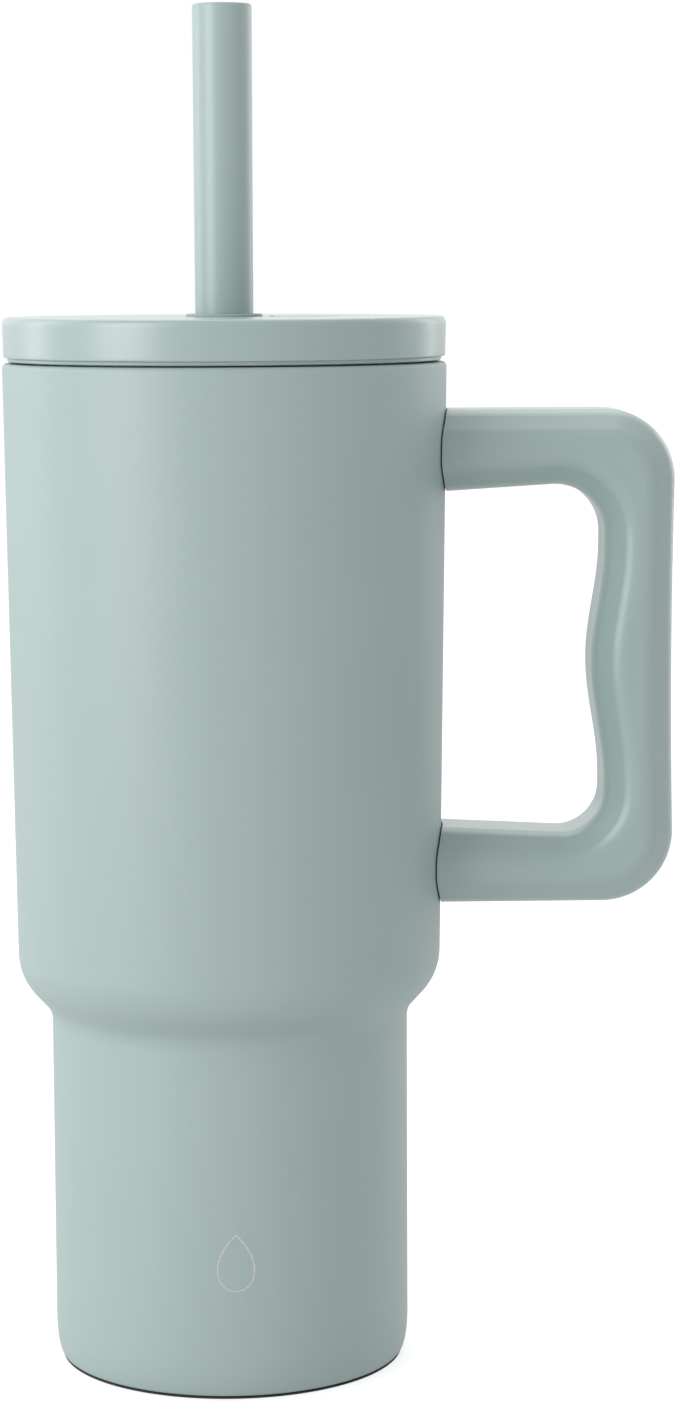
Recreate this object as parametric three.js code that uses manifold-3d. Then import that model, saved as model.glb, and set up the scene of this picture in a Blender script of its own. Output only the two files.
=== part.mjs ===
// Insulated tumbler with a press-in lid, a straw and a side handle.
// Millimetres, +Z up. The origin is on the cup's axis, on the plane that it stands on.
// The handle points along +X.

import * as THREE from 'three';
import { mergeVertices } from 'three/addons/utils/BufferGeometryUtils.js';
import Module from 'manifold-3d';

const wasm = await Module();
wasm.setup();

// ---------------------------------------------------------------- driving dimensions

const GAP = 0.3; // clearance between neighbouring pieces
const ROUND_STEPS = 32; // facets round the large turned pieces
const SMALL_STEPS = 20; // facets round the small turned pieces

// Outer wall of the cup, from the foot up.
const CUP = {
  rimZ: 213.05,
  rimR: 46.62,
  rimRound: 1.0,
  beltZ: 88, // where the shoulder starts
  beltR: 45.05,
  waistR: 38.0,
  shoulderAngle: THREE.MathUtils.degToRad(42),
  shoulderOuterRound: 12,
  shoulderInnerRound: 6,
  footZ: 0.6,
  footInset: 1.5,
  footRise: 8,
};
const WALL = 0.8; // sheet thickness of shell and liner
const VACUUM = 2.4; // space between shell and liner
const LINER_FLOOR_Z = 6.4; // underside of the liner
const LINER_CORNER = 8;
const RIM_FOLD = 0.5; // slope under the rim's flange

const BASE = { r: 36.2, z: 1.6, lipZ: 0.7, dimpleR: 6.2, dimpleSlope: 1, dimpleRise: 1.3, portR: 1.2 };
const PORT_SEAL = { r: 5.6, thick: 0.7 };
const PAD = { r: 34.9, top: 1.3, skirtR: 36.6, skirtTop: 0.3 };
const GETTER = { r: 5, h: 1.8, x: 16, edge: 0.4 };

const LID = {
  r: 46.5,
  top: 222.5,
  plateZ: 217.5, // underside of the top plate
  skirtZ: 214.2, // lower edge of the visible side
  skirtInset: 0.15,
  skirtEdge: 0.3,
  edgeRound: 1.2,
  neckR: 45.5,
  neckZ: CUP.rimZ + GAP,
  cavityR: 43,
  strawHoleR: 7.7,
  recessR: 8.3, // round the straw's hole, for the grommet's flange
  recessZ: 221.8,
};
const INSERT = {
  top: LID.plateZ - GAP,
  bottom: 203.6,
  flangeR: 42.6,
  flangeZ: 213.8,
  r: 41.2,
  grooveR: 39.6,
  grooveLow: 206.6,
  grooveHigh: 210.2,
  innerR: 38,
  floor: 1.6,
  tubeWall: 1.4,
  lowEdge: 0.8,
};
// Radii, and the heights of the fins: the low one from below, the high one from above.
const GASKET = { finR: 42.1, webR: INSERT.r + 0.1, finMiddle: 0.7, finRoot: 1.2, highFinMiddle: 0.5 };

const STRAW = { r: 6.1, tipR: 6.2, bore: 4.9, low: 12, lidZ: 223, tip: 287, lip: 0.4, steps: 24 };
const GROMMET = {
  bore: 6.4,
  r: 7.4,
  flangeR: 8,
  flangeZ: LID.recessZ + GAP,
  flangeEdge: 0.3,
  top: 223.1,
  low: 202.4,
  footR: 8.7,
  footEdge: 0.4,
};

// Flip tab beside the straw, its pin along Y and its plug in the vent hole.
const TAB = {
  pinX: 11.4,
  pinZ: 221.2,
  pinR: 0.6,
  pinHalf: 6,
  endR: 1.4,
  tipX: 22,
  halfWidth: 4.3,
  corner: 3.2,
};
const SEAT = { clearance: 0.4, fingerRoom: 2.2, corner: 3.4 }; // the tab's recess in the lid
const PLUG = { x: 17.4, topR: 3.2, lowR: 2.6, low: 217 };
const VENT = { r: 3.9, tubeWall: 1.2, tubeRise: 0.5 };
const PIN_STEPS = 12; // facets round the hinge pin and its holes

// Handle, as a side view in X and Z: two arms and a grip with an inward wave. Its two bevels
// are as deep as they are wide.
const HANDLE = {
  rootX: 36, // inside the wall, before it is cut to the wall's curve
  topZ: 203,
  topUnderRoot: 185.3,
  topUnderGrip: 187.3,
  lowTopRoot: 115.1,
  lowTopGrip: 113.35,
  lowZ: 98.5,
  gripOuterX: 94.35,
  gripOuterBow: 0.45,
  gripInnerX: 79.5,
  upperOuterRound: 14.8,
  lowerOuterRound: 15,
  upperInnerRound: 10.5,
  lowerInnerRound: 9,
  waveDepth: 2.7,
  waveZ: 149.5,
  waveHalf: 25,
  halfDepth: 12.7,
  edge: 5,
};

// Steel tongues in the arms, and the screws that go up through them from below.
const TONGUE = {
  startX: 42,
  endX: 62,
  halfWidth: 5,
  thick: 4,
  plateHalf: 9,
  plateHeight: 11,
  plateThick: 1.2,
};
const SCREW = {
  x: 56,
  shankR: 1.6,
  headR: 3,
  headH: 2,
  hexR: 1.3,
  hexDepth: 1.2,
  bite: 3,
  point: 1,
  steps: 16,
};
const COUNTERBORE = { r: 3.5, depth: 4.6 };
const SCREW_PLUG = { sunk: 0.3, h: 1.8, edge: 0.3 };
const CUT_PAST = 1; // how far a cutting shape runs past what it cuts

// ---------------------------------------------------------------- materials

const SAGE = 0x99aca8;
const coat = () => new THREE.MeshStandardMaterial({ color: SAGE, roughness: 0.62, metalness: 0.1 });
const plastic = () => new THREE.MeshStandardMaterial({ color: SAGE, roughness: 0.42, metalness: 0 });
const steel = () => new THREE.MeshStandardMaterial({ color: 0xb9bcbd, roughness: 0.3, metalness: 1 });
const softSage = () => new THREE.MeshStandardMaterial({ color: SAGE, roughness: 0.7, metalness: 0 });
const clearSilicone = () => new THREE.MeshStandardMaterial({ color: 0xd9dedb, roughness: 0.6, metalness: 0 });
const darkRubber = () => new THREE.MeshStandardMaterial({ color: 0x2b302f, roughness: 0.85, metalness: 0 });

// ---------------------------------------------------------------- helpers

const at = (r, z) => new THREE.Vector2(r, z);

// Points on an arc in the profile plane, from one angle to another (degrees).
function arc(centreR, centreZ, radius, from, to, steps, radiusZ = radius) {
  const points = [];
  for (let i = 0; i <= steps; i += 1) {
    const angle = THREE.MathUtils.degToRad(from + ((to - from) * i) / steps);
    points.push(at(centreR + radius * Math.cos(angle), centreZ + radiusZ * Math.sin(angle)));
  }
  return points;
}

// A solid turned about Z from a profile that runs anticlockwise in (radius, height).
function turned(points, steps = ROUND_STEPS) {
  const onAxis = points[0].x === 0;
  const profile = onAxis ? points : [...points, points[0].clone()];
  return new THREE.LatheGeometry(profile, steps).rotateX(Math.PI / 2);
}

const disc = (r, low, high) => turned([at(0, low), at(r, low), at(r, high), at(0, high)], SMALL_STEPS);
const box = (low, high) => {
  const size = new THREE.Vector3().subVectors(high, low);
  const middle = new THREE.Vector3().addVectors(low, high).multiplyScalar(0.5);
  return new THREE.BoxGeometry(size.x, size.y, size.z).translate(middle.x, middle.y, middle.z);
};
const vec = (x, y, z) => new THREE.Vector3(x, y, z);

function toSolid(geometry) {
  const bare = geometry.clone();
  bare.deleteAttribute('normal');
  bare.deleteAttribute('uv');
  const merged = mergeVertices(bare, 1e-4);
  return new wasm.Manifold(
    new wasm.Mesh({
      numProp: 3,
      vertProperties: new Float32Array(merged.attributes.position.array),
      triVerts: new Uint32Array(merged.index.array),
    }),
  );
}

function toGeometry(solid) {
  const mesh = solid.getMesh();
  const geometry = new THREE.BufferGeometry();
  geometry.setAttribute('position', new THREE.BufferAttribute(mesh.vertProperties, 3));
  geometry.setIndex(new THREE.BufferAttribute(mesh.triVerts, 1));
  geometry.computeVertexNormals();
  return geometry;
}

// Joins and cuts: the first geometry, with some added and others taken away.
function shaped(base, { add = [], cut = [] }) {
  let solid = toSolid(base);
  for (const geometry of add) {
    solid = solid.add(toSolid(geometry));
  }
  for (const geometry of cut) {
    solid = solid.subtract(toSolid(geometry));
  }
  return toGeometry(solid);
}

const model = new THREE.Group();

function place(name, geometry, material, parent = model) {
  const mesh = new THREE.Mesh(geometry, material);
  mesh.name = name;
  parent.add(mesh);
  return mesh;
}

// ---------------------------------------------------------------- cup walls

// Radius of the outer wall's straight, tapered part at a height.
function taperR(z) {
  return CUP.beltR + ((CUP.rimR - CUP.beltR) * (z - CUP.beltZ)) / (CUP.rimZ - CUP.beltZ);
}

// The shoulder's S from the waist up to the belt, set in from the outer wall by an offset.
function shoulder(inset) {
  const { beltR, beltZ, waistR, shoulderAngle, shoulderOuterRound, shoulderInnerRound } = CUP;
  const degrees = THREE.MathUtils.radToDeg(shoulderAngle);
  const acrossArcs = (shoulderOuterRound + shoulderInnerRound) * (1 - Math.cos(shoulderAngle));
  const straightRise = (beltR - waistR - acrossArcs) / Math.tan(shoulderAngle);
  const waistZ = beltZ - (shoulderOuterRound + shoulderInnerRound) * Math.sin(shoulderAngle) - straightRise;
  const hollow = arc(waistR + shoulderInnerRound, waistZ, shoulderInnerRound + inset, 180, 180 - degrees, 3);
  const bulge = arc(beltR - shoulderOuterRound, beltZ, shoulderOuterRound - inset, -degrees, 0, 4);
  return [...hollow, ...bulge];
}

function outerShell() {
  const { rimZ, rimR, rimRound, waistR, footZ, footInset, footRise } = CUP;
  const flangeR = rimR - WALL - VACUUM + GAP; // the liner stands inside this
  const foot = arc(waistR - footInset, footZ + footRise, footInset, -90, 0, 5, footRise);
  const rim = arc(rimR - rimRound, rimZ - rimRound, rimRound, 0, 90, 2);
  const fold = at(rimR - WALL - RIM_FOLD, rimZ - WALL - RIM_FOLD);
  const underFlange = [at(flangeR, rimZ), at(flangeR, rimZ - WALL), fold];
  const footTurn = [waistR - footInset, footZ + footRise, footInset - WALL];
  const insideFoot = arc(...footTurn, 0, -90, 4, footRise - WALL);
  const inside = [...shoulder(WALL).reverse(), ...insideFoot];
  return turned([...foot, ...shoulder(0), ...rim, ...underFlange, ...inside]);
}

function innerLiner() {
  const outside = WALL + VACUUM;
  const inside = outside + WALL;
  const lowOuterR = CUP.waistR - outside;
  const cornerR = lowOuterR - LINER_CORNER;
  const cornerZ = LINER_FLOOR_Z + LINER_CORNER;
  return turned([
    at(0, LINER_FLOOR_Z),
    ...arc(cornerR, cornerZ, LINER_CORNER, -90, 0, 4),
    ...shoulder(outside),
    at(CUP.rimR - outside, CUP.rimZ),
    at(CUP.rimR - inside, CUP.rimZ),
    ...shoulder(inside).reverse(),
    ...arc(cornerR, cornerZ, LINER_CORNER - WALL, 0, -90, 4),
    at(0, LINER_FLOOR_Z + WALL),
  ]);
}

// ---------------------------------------------------------------- foot

function basePlate() {
  const { r, z, lipZ, dimpleR, dimpleSlope, dimpleRise, portR } = BASE;
  const raised = z + dimpleRise;
  const topShift = 0.3; // keeps the sloping part as thick as the sheet
  return turned([
    at(portR, raised),
    at(dimpleR, raised),
    at(dimpleR + dimpleSlope, z),
    at(r - WALL, z),
    at(r - WALL, lipZ),
    at(r, lipZ),
    at(r, z + WALL),
    at(dimpleR + dimpleSlope + topShift, z + WALL),
    at(dimpleR + topShift, raised + WALL),
    at(portR, raised + WALL),
  ]);
}

// A disc inside the base plate's lip, with a thin skirt below the lip.
function footPad() {
  const { r, top, skirtR, skirtTop } = PAD;
  return turned([at(0, 0), at(skirtR, 0), at(skirtR, skirtTop), at(r, skirtTop), at(r, top), at(0, top)]);
}

// Closes the port that the air was drawn out through, up inside the dimple.
function portSeal() {
  const high = BASE.z + BASE.dimpleRise - GAP;
  return disc(PORT_SEAL.r, high - PORT_SEAL.thick, high);
}

function getterCapsule() {
  const { r, h, edge } = GETTER;
  const low = BASE.z + WALL + GAP;
  const high = low + h;
  return turned([at(0, low), at(r, low), at(r, high - edge), at(r - edge, high), at(0, high)], SMALL_STEPS);
}

// ---------------------------------------------------------------- handle

// The grip's inner face: straight, with one smooth swell towards the cup.
function gripInnerX(z) {
  const t = Math.min(Math.abs(z - HANDLE.waveZ) / HANDLE.waveHalf, 1);
  return HANDLE.gripInnerX - HANDLE.waveDepth * (0.5 + 0.5 * Math.cos(Math.PI * t));
}

function handleOutline() {
  const h = HANDLE;
  const shape = new THREE.Shape();
  shape.moveTo(h.rootX, h.lowZ);
  shape.lineTo(h.gripOuterX - h.lowerOuterRound, h.lowZ);
  const lowCentre = [h.gripOuterX - h.lowerOuterRound, h.lowZ + h.lowerOuterRound];
  shape.absarc(...lowCentre, h.lowerOuterRound, -Math.PI / 2, 0, false);
  const topCentre = [h.gripOuterX - h.upperOuterRound, h.topZ - h.upperOuterRound];
  const bowX = h.gripOuterX - 2 * h.gripOuterBow; // a curve goes half way to its control point
  shape.quadraticCurveTo(bowX, (lowCentre[1] + topCentre[1]) / 2, h.gripOuterX, topCentre[1]);
  shape.absarc(...topCentre, h.upperOuterRound, 0, Math.PI / 2, false);
  shape.lineTo(h.rootX, h.topZ);
  shape.lineTo(h.rootX, h.topUnderRoot);
  const topInner = [h.gripInnerX - h.upperInnerRound, h.topUnderGrip - h.upperInnerRound];
  shape.absarc(...topInner, h.upperInnerRound, Math.PI / 2, 0, true);
  const swellSteps = 10;
  for (let i = 0; i <= swellSteps; i += 1) {
    const z = h.waveZ + h.waveHalf - (2 * h.waveHalf * i) / swellSteps;
    shape.lineTo(gripInnerX(z), z);
  }
  const lowInner = [h.gripInnerX - h.lowerInnerRound, h.lowTopGrip + h.lowerInnerRound];
  shape.absarc(...lowInner, h.lowerInnerRound, 0, -Math.PI / 2, true);
  shape.lineTo(h.rootX, h.lowTopRoot);
  return shape;
}

// The cup's tapered wall, grown by a clearance, as a solid that cuts the pieces that hug it.
function wallCutter(clearance) {
  const low = CUP.beltZ + CUT_PAST;
  const lowR = taperR(low) + clearance;
  return turned([at(0, low), at(lowR, low), at(taperR(CUP.rimZ) + clearance, CUP.rimZ), at(0, CUP.rimZ)]);
}

// Height of an arm's inner side above the screw: it slopes from the root to the grip.
function innerSideAtScrew(rootZ, gripZ) {
  const inGrip = HANDLE.gripInnerX - HANDLE.upperInnerRound;
  return rootZ + ((gripZ - rootZ) * (SCREW.x - HANDLE.rootX)) / (inGrip - HANDLE.rootX);
}

// One arm's hidden fixing: heights that the tongue, the pocket and the screw share.
function fixing(underZ, topZ) {
  const middle = (underZ + topZ) / 2;
  return { middle, low: middle - TONGUE.thick / 2, high: middle + TONGUE.thick / 2, underZ };
}
const ARMS = {
  upper: fixing(innerSideAtScrew(HANDLE.topUnderRoot, HANDLE.topUnderGrip), HANDLE.topZ),
  lower: fixing(HANDLE.lowZ, innerSideAtScrew(HANDLE.lowTopRoot, HANDLE.lowTopGrip)),
};

// Space for a tongue and its plate, a clearance larger than they are.
function tonguePocket({ middle, low, high }) {
  const { endX, halfWidth, plateHalf, plateHeight, plateThick } = TONGUE;
  const { rootX } = HANDLE;
  const slotSide = halfWidth + GAP;
  const slot = box(vec(rootX - CUT_PAST, -slotSide, low - GAP), vec(endX + GAP, slotSide, high + GAP));
  const plateReach = taperR(middle) + plateThick + 2 * GAP;
  const plateSide = plateHalf + GAP;
  const plateRise = plateHeight / 2 + GAP;
  const plateLow = vec(rootX - CUT_PAST, -plateSide, middle - plateRise);
  return [slot, box(plateLow, vec(plateReach, plateSide, middle + plateRise))];
}

function screwHoles({ underZ, high }) {
  const seat = underZ + COUNTERBORE.depth;
  const shankEnd = high + SCREW.bite + GAP;
  const clearance = disc(SCREW.shankR + GAP, seat - CUT_PAST, shankEnd).translate(SCREW.x, 0, 0);
  const counterbore = disc(COUNTERBORE.r, underZ - 2 * CUT_PAST, seat).translate(SCREW.x, 0, 0);
  return [clearance, counterbore];
}

function handle() {
  const { edge, halfDepth } = HANDLE;
  const blank = new THREE.ExtrudeGeometry(handleOutline(), {
    depth: 2 * (halfDepth - edge),
    curveSegments: 5,
    bevelEnabled: true,
    bevelSize: edge,
    bevelThickness: edge,
    bevelOffset: -edge,
    bevelSegments: 3,
  });
  blank.rotateX(Math.PI / 2).translate(0, halfDepth - edge, 0);
  const hollows = Object.values(ARMS).flatMap((arm) => [...tonguePocket(arm), ...screwHoles(arm)]);
  return shaped(blank, { cut: [wallCutter(2 * GAP), ...hollows] });
}

// A steel tongue on a curved plate that is welded to the wall.
function bracket({ middle, low, high }) {
  const { startX, endX, halfWidth, plateHalf, plateHeight, plateThick } = TONGUE;
  const plateLow = middle - plateHeight / 2;
  const plateX = taperR(middle) + plateThick;
  const plate = box(vec(HANDLE.rootX, -plateHalf, plateLow), vec(plateX, plateHalf, plateLow + plateHeight));
  const tongue = box(vec(startX, -halfWidth, low), vec(endX, halfWidth, high));
  const hole = disc(SCREW.shankR + GAP, low - CUT_PAST, high + CUT_PAST).translate(SCREW.x, 0, 0);
  return shaped(plate, { add: [tongue], cut: [wallCutter(GAP), hole] });
}

function handleScrew({ underZ, high }) {
  const headLow = underZ + COUNTERBORE.depth - GAP - SCREW.headH;
  const headHigh = headLow + SCREW.headH;
  const tip = high + SCREW.bite;
  const body = turned(
    [
      at(0, headLow),
      at(SCREW.headR, headLow),
      at(SCREW.headR, headHigh),
      at(SCREW.shankR, headHigh),
      at(SCREW.shankR, tip - SCREW.point),
      at(SCREW.shankR / 2, tip),
      at(0, tip),
    ],
    SCREW.steps,
  );
  const hex = new THREE.CylinderGeometry(SCREW.hexR, SCREW.hexR, 2 * SCREW.hexDepth, 6);
  hex.rotateX(Math.PI / 2).translate(0, 0, headLow);
  return shaped(body, { cut: [hex] });
}

// A round plug whose edge is softened, just below the arm's underside.
function screwPlug({ underZ }) {
  const r = COUNTERBORE.r - GAP;
  const { sunk, h, edge } = SCREW_PLUG;
  const low = underZ + sunk;
  const high = low + h;
  return turned([at(0, low), at(r - edge, low), at(r, low + edge), at(r, high), at(0, high)], SMALL_STEPS);
}

// ---------------------------------------------------------------- lid

// Shape in X and Y of the tab's seat or of the tab itself, grown by a clearance.
function tabPlan(startX, endX, halfWidth, corner) {
  const plan = new THREE.Shape();
  plan.moveTo(startX, -halfWidth);
  plan.lineTo(endX - corner, -halfWidth);
  plan.absarc(endX - corner, -halfWidth + corner, corner, -Math.PI / 2, 0, false);
  plan.absarc(endX - corner, halfWidth - corner, corner, 0, Math.PI / 2, false);
  plan.lineTo(startX, halfWidth);
  return plan;
}

// A cylinder on the tab's hinge axis.
function pinAlongY(r, half, steps) {
  return new THREE.CylinderGeometry(r, r, 2 * half, steps).translate(TAB.pinX, 0, TAB.pinZ);
}

function lidCover() {
  const { r, top, plateZ, skirtZ, skirtInset, skirtEdge, edgeRound, neckR, neckZ, cavityR } = LID;
  const { strawHoleR, recessR, recessZ } = LID;
  const body = turned([
    at(strawHoleR, plateZ),
    at(cavityR, plateZ),
    at(cavityR, neckZ),
    at(neckR, neckZ),
    at(neckR, skirtZ),
    at(r - skirtInset - skirtEdge, skirtZ),
    at(r - skirtInset, skirtZ + skirtEdge),
    ...arc(r - edgeRound, top - edgeRound, edgeRound, 0, 90, 3),
    at(recessR, top),
    at(recessR, recessZ),
    at(strawHoleR, recessZ),
  ]);
  const { clearance, fingerRoom, corner } = SEAT;
  const seatFloor = TAB.pinZ - TAB.endR - clearance;
  const seatStart = TAB.pinX - TAB.endR - clearance;
  const seatPlan = tabPlan(seatStart, TAB.tipX + fingerRoom, TAB.halfWidth + GAP, corner);
  const seat = new THREE.ExtrudeGeometry(seatPlan, {
    depth: top - seatFloor + CUT_PAST,
    curveSegments: 4,
    bevelEnabled: false,
  });
  seat.translate(0, 0, seatFloor);
  const vent = disc(VENT.r, plateZ - CUT_PAST, seatFloor + CUT_PAST).translate(PLUG.x, 0, 0);
  const pinHole = pinAlongY(TAB.pinR + GAP, TAB.pinHalf + GAP, PIN_STEPS);
  return shaped(body, { cut: [seat, vent, pinHole] });
}

function lidInsert() {
  const i = INSERT;
  const floorTop = i.bottom + i.floor;
  const tubeR = LID.strawHoleR + i.tubeWall;
  const body = turned([
    at(LID.strawHoleR, i.bottom),
    at(i.r - i.lowEdge, i.bottom),
    at(i.r, i.bottom + i.lowEdge),
    at(i.r, i.grooveLow),
    at(i.grooveR, i.grooveLow),
    at(i.grooveR, i.grooveHigh),
    at(i.r, i.grooveHigh),
    at(i.r, i.flangeZ),
    at(i.flangeR, i.flangeZ),
    at(i.flangeR, i.top),
    at(i.innerR, i.top),
    at(i.innerR, floorTop),
    at(tubeR, floorTop),
    at(tubeR, i.top),
    at(LID.strawHoleR, i.top),
  ]);
  const ventTube = disc(VENT.r + VENT.tubeWall, i.bottom + VENT.tubeRise, i.top).translate(PLUG.x, 0, 0);
  const vent = disc(VENT.r, i.bottom - CUT_PAST, i.top + CUT_PAST).translate(PLUG.x, 0, 0);
  return shaped(body, { add: [ventTube], cut: [vent] });
}

// A ring in the insert's groove, with two fins that wipe the cup's mouth.
function lidGasket() {
  const low = INSERT.grooveLow + GAP;
  const high = INSERT.grooveHigh - GAP;
  const innerR = INSERT.grooveR + GAP;
  const { finR, webR, finMiddle, finRoot, highFinMiddle } = GASKET;
  return turned([
    at(innerR, low),
    at(webR, low),
    at(finR, low + finMiddle),
    at(webR, low + finRoot),
    at(webR, high - finRoot),
    at(finR, high - highFinMiddle),
    at(webR, high),
    at(innerR, high),
  ]);
}

function strawGrommet() {
  const { bore, r, flangeR, flangeZ, flangeEdge, top, low, footR, footEdge } = GROMMET;
  const footTop = INSERT.bottom - GAP;
  return turned(
    [
      at(bore, low),
      at(footR - footEdge, low),
      at(footR, low + footEdge),
      at(footR, footTop),
      at(r, footTop),
      at(r, flangeZ),
      at(flangeR, flangeZ),
      at(flangeR, top - flangeEdge),
      at(flangeR - flangeEdge, top),
      at(bore, top),
    ],
    STRAW.steps,
  );
}

function stopperTab() {
  const { pinX, pinZ, endR, tipX, halfWidth, corner, pinR } = TAB;
  const plate = new THREE.ExtrudeGeometry(tabPlan(pinX, tipX, halfWidth, corner), {
    depth: 2 * endR,
    curveSegments: 4,
    bevelEnabled: false,
  });
  plate.translate(0, 0, pinZ - endR);
  const knuckle = pinAlongY(endR, halfWidth, SMALL_STEPS);
  const pinHole = pinAlongY(pinR + GAP, halfWidth + CUT_PAST, PIN_STEPS);
  return shaped(plate, { add: [knuckle], cut: [pinHole] });
}

function stopperPlug() {
  const high = TAB.pinZ - TAB.endR - GAP;
  return turned([at(0, PLUG.low), at(PLUG.lowR, PLUG.low), at(PLUG.topR, high), at(0, high)], SMALL_STEPS);
}

// ---------------------------------------------------------------- straw

function straw() {
  const { r, tipR, bore, low, lidZ, tip, lip, steps } = STRAW;
  return turned(
    [
      at(bore, low),
      at(r, low),
      at(r, lidZ),
      at(tipR, tip - lip),
      at(tipR - lip, tip),
      at(bore + lip, tip),
      at(bore, tip - lip),
    ],
    steps,
  );
}

// ---------------------------------------------------------------- assembly

place('outer_shell', outerShell(), coat());
place('inner_liner', innerLiner(), steel());
place('base_plate', basePlate(), steel());
place('foot_pad', footPad(), darkRubber());

place('port_seal', portSeal(), steel());
place('getter_capsule', getterCapsule(), steel()).position.x = GETTER.x;

place('handle', handle(), plastic());
for (const [name, arm] of Object.entries(ARMS)) {
  place(`${name}_bracket`, bracket(arm), steel());
  place(`${name}_handle_screw`, handleScrew(arm), steel()).position.x = SCREW.x;
  place(`${name}_screw_plug`, screwPlug(arm), plastic()).position.x = SCREW.x;
}

const lid = new THREE.Group();
model.add(lid);
place('lid_cover', lidCover(), plastic(), lid);
place('lid_insert', lidInsert(), plastic(), lid);
place('lid_gasket', lidGasket(), clearSilicone(), lid);
place('straw_grommet', strawGrommet(), softSage(), lid);
place('tab_hinge_pin', pinAlongY(TAB.pinR, TAB.pinHalf, PIN_STEPS), steel(), lid);
place('stopper_tab', stopperTab(), plastic(), lid);
place('stopper_plug', stopperPlug(), softSage(), lid).position.x = PLUG.x;

place('straw', straw(), plastic());

export default model;
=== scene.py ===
# %% [markdown]
# # A vacuum tumbler with a lid, a straw and a side handle
#
# The cup is two steel walls with nothing between them, so a drink keeps its temperature. The
# lid presses into the mouth, a wide straw stands in its middle, and a moulded handle is screwed
# to the side. The joints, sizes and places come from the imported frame. This script makes the
# visible surfaces fine enough to look at closely, and gives each one its finish.

# %% Load the frame
import math

import bpy
from mathutils import Matrix, Vector


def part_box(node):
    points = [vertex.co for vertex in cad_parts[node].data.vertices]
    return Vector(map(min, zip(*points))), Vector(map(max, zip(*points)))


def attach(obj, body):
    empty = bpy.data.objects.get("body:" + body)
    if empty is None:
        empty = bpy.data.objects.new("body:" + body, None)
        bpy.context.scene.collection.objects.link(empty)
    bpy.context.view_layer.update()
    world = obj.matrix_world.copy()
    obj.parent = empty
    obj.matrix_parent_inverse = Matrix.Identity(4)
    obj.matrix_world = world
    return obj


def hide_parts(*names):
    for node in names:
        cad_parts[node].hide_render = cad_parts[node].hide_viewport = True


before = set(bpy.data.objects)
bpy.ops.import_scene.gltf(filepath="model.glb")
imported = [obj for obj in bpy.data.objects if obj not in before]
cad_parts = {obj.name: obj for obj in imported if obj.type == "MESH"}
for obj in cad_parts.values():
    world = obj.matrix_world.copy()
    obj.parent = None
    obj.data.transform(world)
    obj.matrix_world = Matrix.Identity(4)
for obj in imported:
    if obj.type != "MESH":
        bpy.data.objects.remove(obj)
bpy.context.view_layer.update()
MM = 0.001

# %% [markdown]
# ## Camera
#
# The tumbler is seen almost level, from a little above its lid, with a long lens, so that its
# sides stay nearly parallel. The camera is set by its distance from the cup's axis, its height
# and its aim. Turning it with three rotations is easier to read than a matrix of numbers.

# %% Place the camera
CAMERA_DISTANCE = 0.738
CAMERA_HEIGHT = 0.2316
CAMERA_DOWN = math.radians(6.985)
CAMERA_RIGHT = math.radians(1.849)
CAMERA_ROLL = math.radians(-0.255)
LENS_MM = 89.8

bpy.ops.object.select_all(action="DESELECT")
bpy.ops.object.camera_add(location=(0, -CAMERA_DISTANCE, CAMERA_HEIGHT))
camera = bpy.context.object
turn_level = Matrix.Rotation(math.pi / 2 - CAMERA_DOWN, 4, "X")
turn_side = Matrix.Rotation(-CAMERA_RIGHT, 4, "Z")
turn_roll = Matrix.Rotation(CAMERA_ROLL, 4, "Z")
camera.matrix_world = Matrix.Translation(camera.location) @ turn_side @ turn_level @ turn_roll
camera.data.lens = LENS_MM
camera.data.sensor_width = 36
camera.data.clip_start = 0.01
bpy.context.scene.camera = camera
print("camera:", [round(c, 3) for c in camera.location])

# %% [markdown]
# ## Floor and light
#
# The tumbler stands on a white sweep. A pale floor that runs far past the view does for that,
# and both the floor and the background are white to the camera. The main light is a tall window
# on the left, a little in front. A wide one overhead lights the lid and the arms' upper sides,
# and two narrow ones behind draw a thin bright line down each side. The surroundings are grey
# in front and white behind, as in front of a lit backdrop.

# %% Floor
FLOOR_HALF = 12.0

bpy.ops.object.select_all(action="DESELECT")
bpy.ops.mesh.primitive_plane_add(size=2 * FLOOR_HALF, location=(0, 0, 0))
floor = bpy.context.object
floor.name = "studio_floor"

# %% Lights and surroundings


def soft_light(name, place, size, power, aim=(0, 0, 0.14)):
    """Adds a rectangular light at a place, turned to face the aim."""
    bpy.ops.object.light_add(type="AREA", location=place)
    light = bpy.context.object
    light.name = name
    light.data.shape = "RECTANGLE"
    light.data.size, light.data.size_y = size
    light.data.energy = power
    light.rotation_euler = (Vector(place) - Vector(aim)).to_track_quat("Z", "Y").to_euler()
    return light


soft_light("window_left", (-1.25, -0.95, 0.6), (0.9, 1.6), 17)
soft_light("overhead", (0, 0.5, 1.4), (1.2, 1.2), 5)
soft_light("edge_left", (-1.3, 0.5, 0.4), (0.4, 1.4), 4)
soft_light("edge_right", (1.2, 1.1, 0.4), (0.15, 1.2), 2)

ROOM_GREY = 0.68
BACKDROP_WHITE = 1.15
world = bpy.data.worlds.new("studio_surroundings")
bpy.context.scene.world = world
world.use_nodes = True
tree = world.node_tree
way = tree.nodes.new("ShaderNodeTexCoord")
parts = tree.nodes.new("ShaderNodeSeparateXYZ")
tree.links.new(way.outputs["Generated"], parts.inputs[0])
behind = tree.nodes.new("ShaderNodeMapRange")
behind.interpolation_type = "SMOOTHSTEP"
behind.inputs["From Min"].default_value = -0.1
behind.inputs["From Max"].default_value = 0.6
behind.inputs["To Min"].default_value = ROOM_GREY
behind.inputs["To Max"].default_value = BACKDROP_WHITE
tree.links.new(parts.outputs["Y"], behind.inputs["Value"])
lit = tree.nodes["Background"]
tree.links.new(behind.outputs[0], lit.inputs["Color"])
seen = tree.nodes.new("ShaderNodeBackground")
seen.inputs["Color"].default_value = (1, 1, 1, 1)
ray = tree.nodes.new("ShaderNodeLightPath")
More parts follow.
